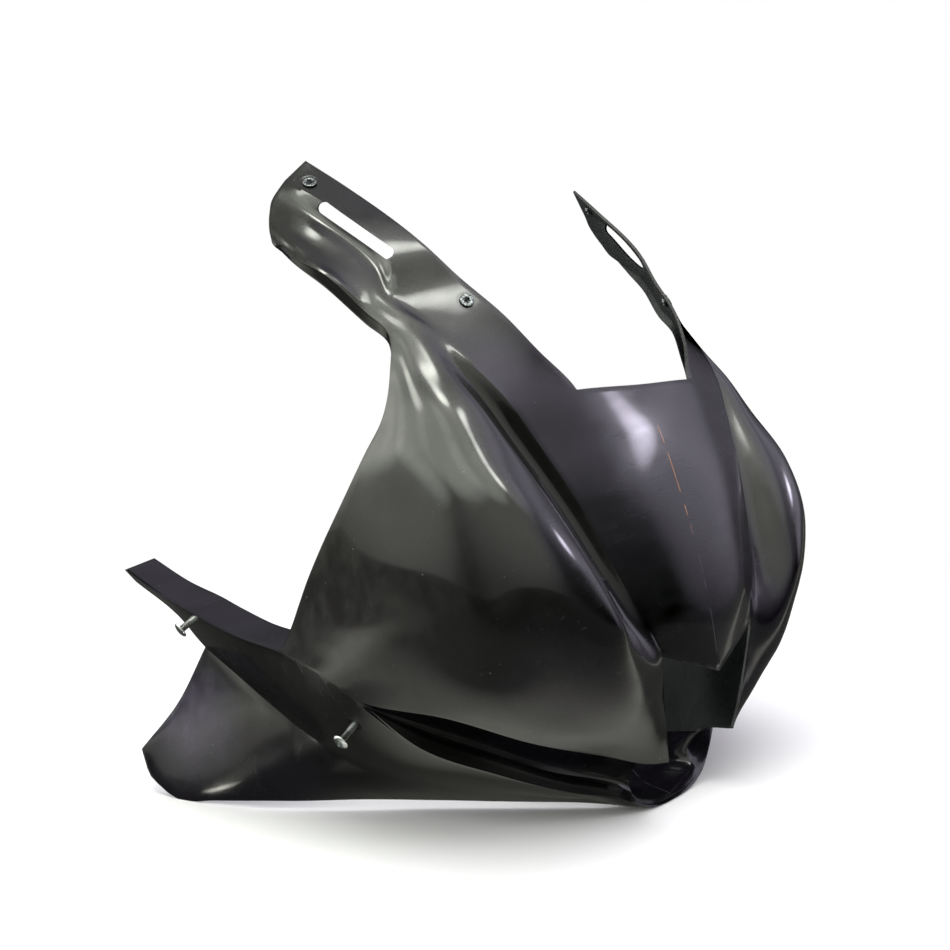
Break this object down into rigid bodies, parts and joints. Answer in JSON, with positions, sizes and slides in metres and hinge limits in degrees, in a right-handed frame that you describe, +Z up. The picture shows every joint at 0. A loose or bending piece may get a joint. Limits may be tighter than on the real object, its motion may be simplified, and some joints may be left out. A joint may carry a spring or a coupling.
{
  "type": "motorcycle fairing",
  "caption": "Upper nose fairing for a track motorcycle, moulded laminate shell with screen arms, central air intake, chin lip and lower wings, with threaded screen inserts and captive studs.",
  "frame": {"origin": "on the floor plane under the middle of the overall length and width", "axes": "+X to the rider's left, -Y towards the nose, +Z up"},
  "size_m": [0.546, 0.4678, 0.549],
  "materials": {
    "shell": "gloss black gelcoat over glass-fibre laminate, rough dark inner side",
    "insert": "zinc plated",
    "stud": "bright zinc plated",
    "ring": "zinc plated"
  },
  "bodies": {
    "panel": {"fairing_shell": "shell", "insert_upper_right": "insert", "insert_lower_right": "insert", "insert_upper_left": "insert", "insert_lower_left": "insert"},
    "ring_front_right": {"ring_front_right": "ring"},
    "stud_front_right": {"stud_front_right": "stud"},
    "ring_rear_right": {"ring_rear_right": "ring"},
    "stud_rear_right": {"stud_rear_right": "stud"},
    "ring_front_left": {"ring_front_left": "ring"},
    "stud_front_left": {"stud_front_left": "stud"},
    "ring_rear_left": {"ring_rear_left": "ring"},
    "stud_rear_left": {"stud_rear_left": "stud"}
  },
  "joints": [
    {"name": "stud_front_right_push", "type": "slide", "parent": "panel", "child": "ring_front_right", "axis": [0.8559, 0.0092, 0.5171], "range_m": [0, 0.008]},
    {"name": "stud_front_right_turn", "type": "hinge", "parent": "ring_front_right", "child": "stud_front_right", "pos_m": [-0.24753, -0.0325, 0.09107], "axis": [0.8559, 0.0092, 0.5171], "range_deg": [0, 90]},
    {"name": "stud_rear_right_push", "type": "slide", "parent": "panel", "child": "ring_rear_right", "axis": [0.8182, -0.2212, 0.5307], "range_m": [0, 0.008]},
    {"name": "stud_rear_right_turn", "type": "hinge", "parent": "ring_rear_right", "child": "stud_rear_right", "pos_m": [-0.25931, 0.13973, 0.1594], "axis": [0.8182, -0.2212, 0.5307], "range_deg": [0, 90]},
    {"name": "stud_front_left_push", "type": "slide", "parent": "panel", "child": "ring_front_left", "axis": [-0.8559, 0.0092, 0.5171], "range_m": [0, 0.008]},
    {"name": "stud_front_left_turn", "type": "hinge", "parent": "ring_front_left", "child": "stud_front_left", "pos_m": [0.24753, -0.0325, 0.09107], "axis": [-0.8559, 0.0092, 0.5171], "range_deg": [0, 90]},
    {"name": "stud_rear_left_push", "type": "slide", "parent": "panel", "child": "ring_rear_left", "axis": [-0.8182, -0.2212, 0.5307], "range_m": [0, 0.008]},
    {"name": "stud_rear_left_turn", "type": "hinge", "parent": "ring_rear_left", "child": "stud_rear_left", "pos_m": [0.25931, 0.13973, 0.1594], "axis": [-0.8182, -0.2212, 0.5307], "range_deg": [0, 90]}
  ]
}
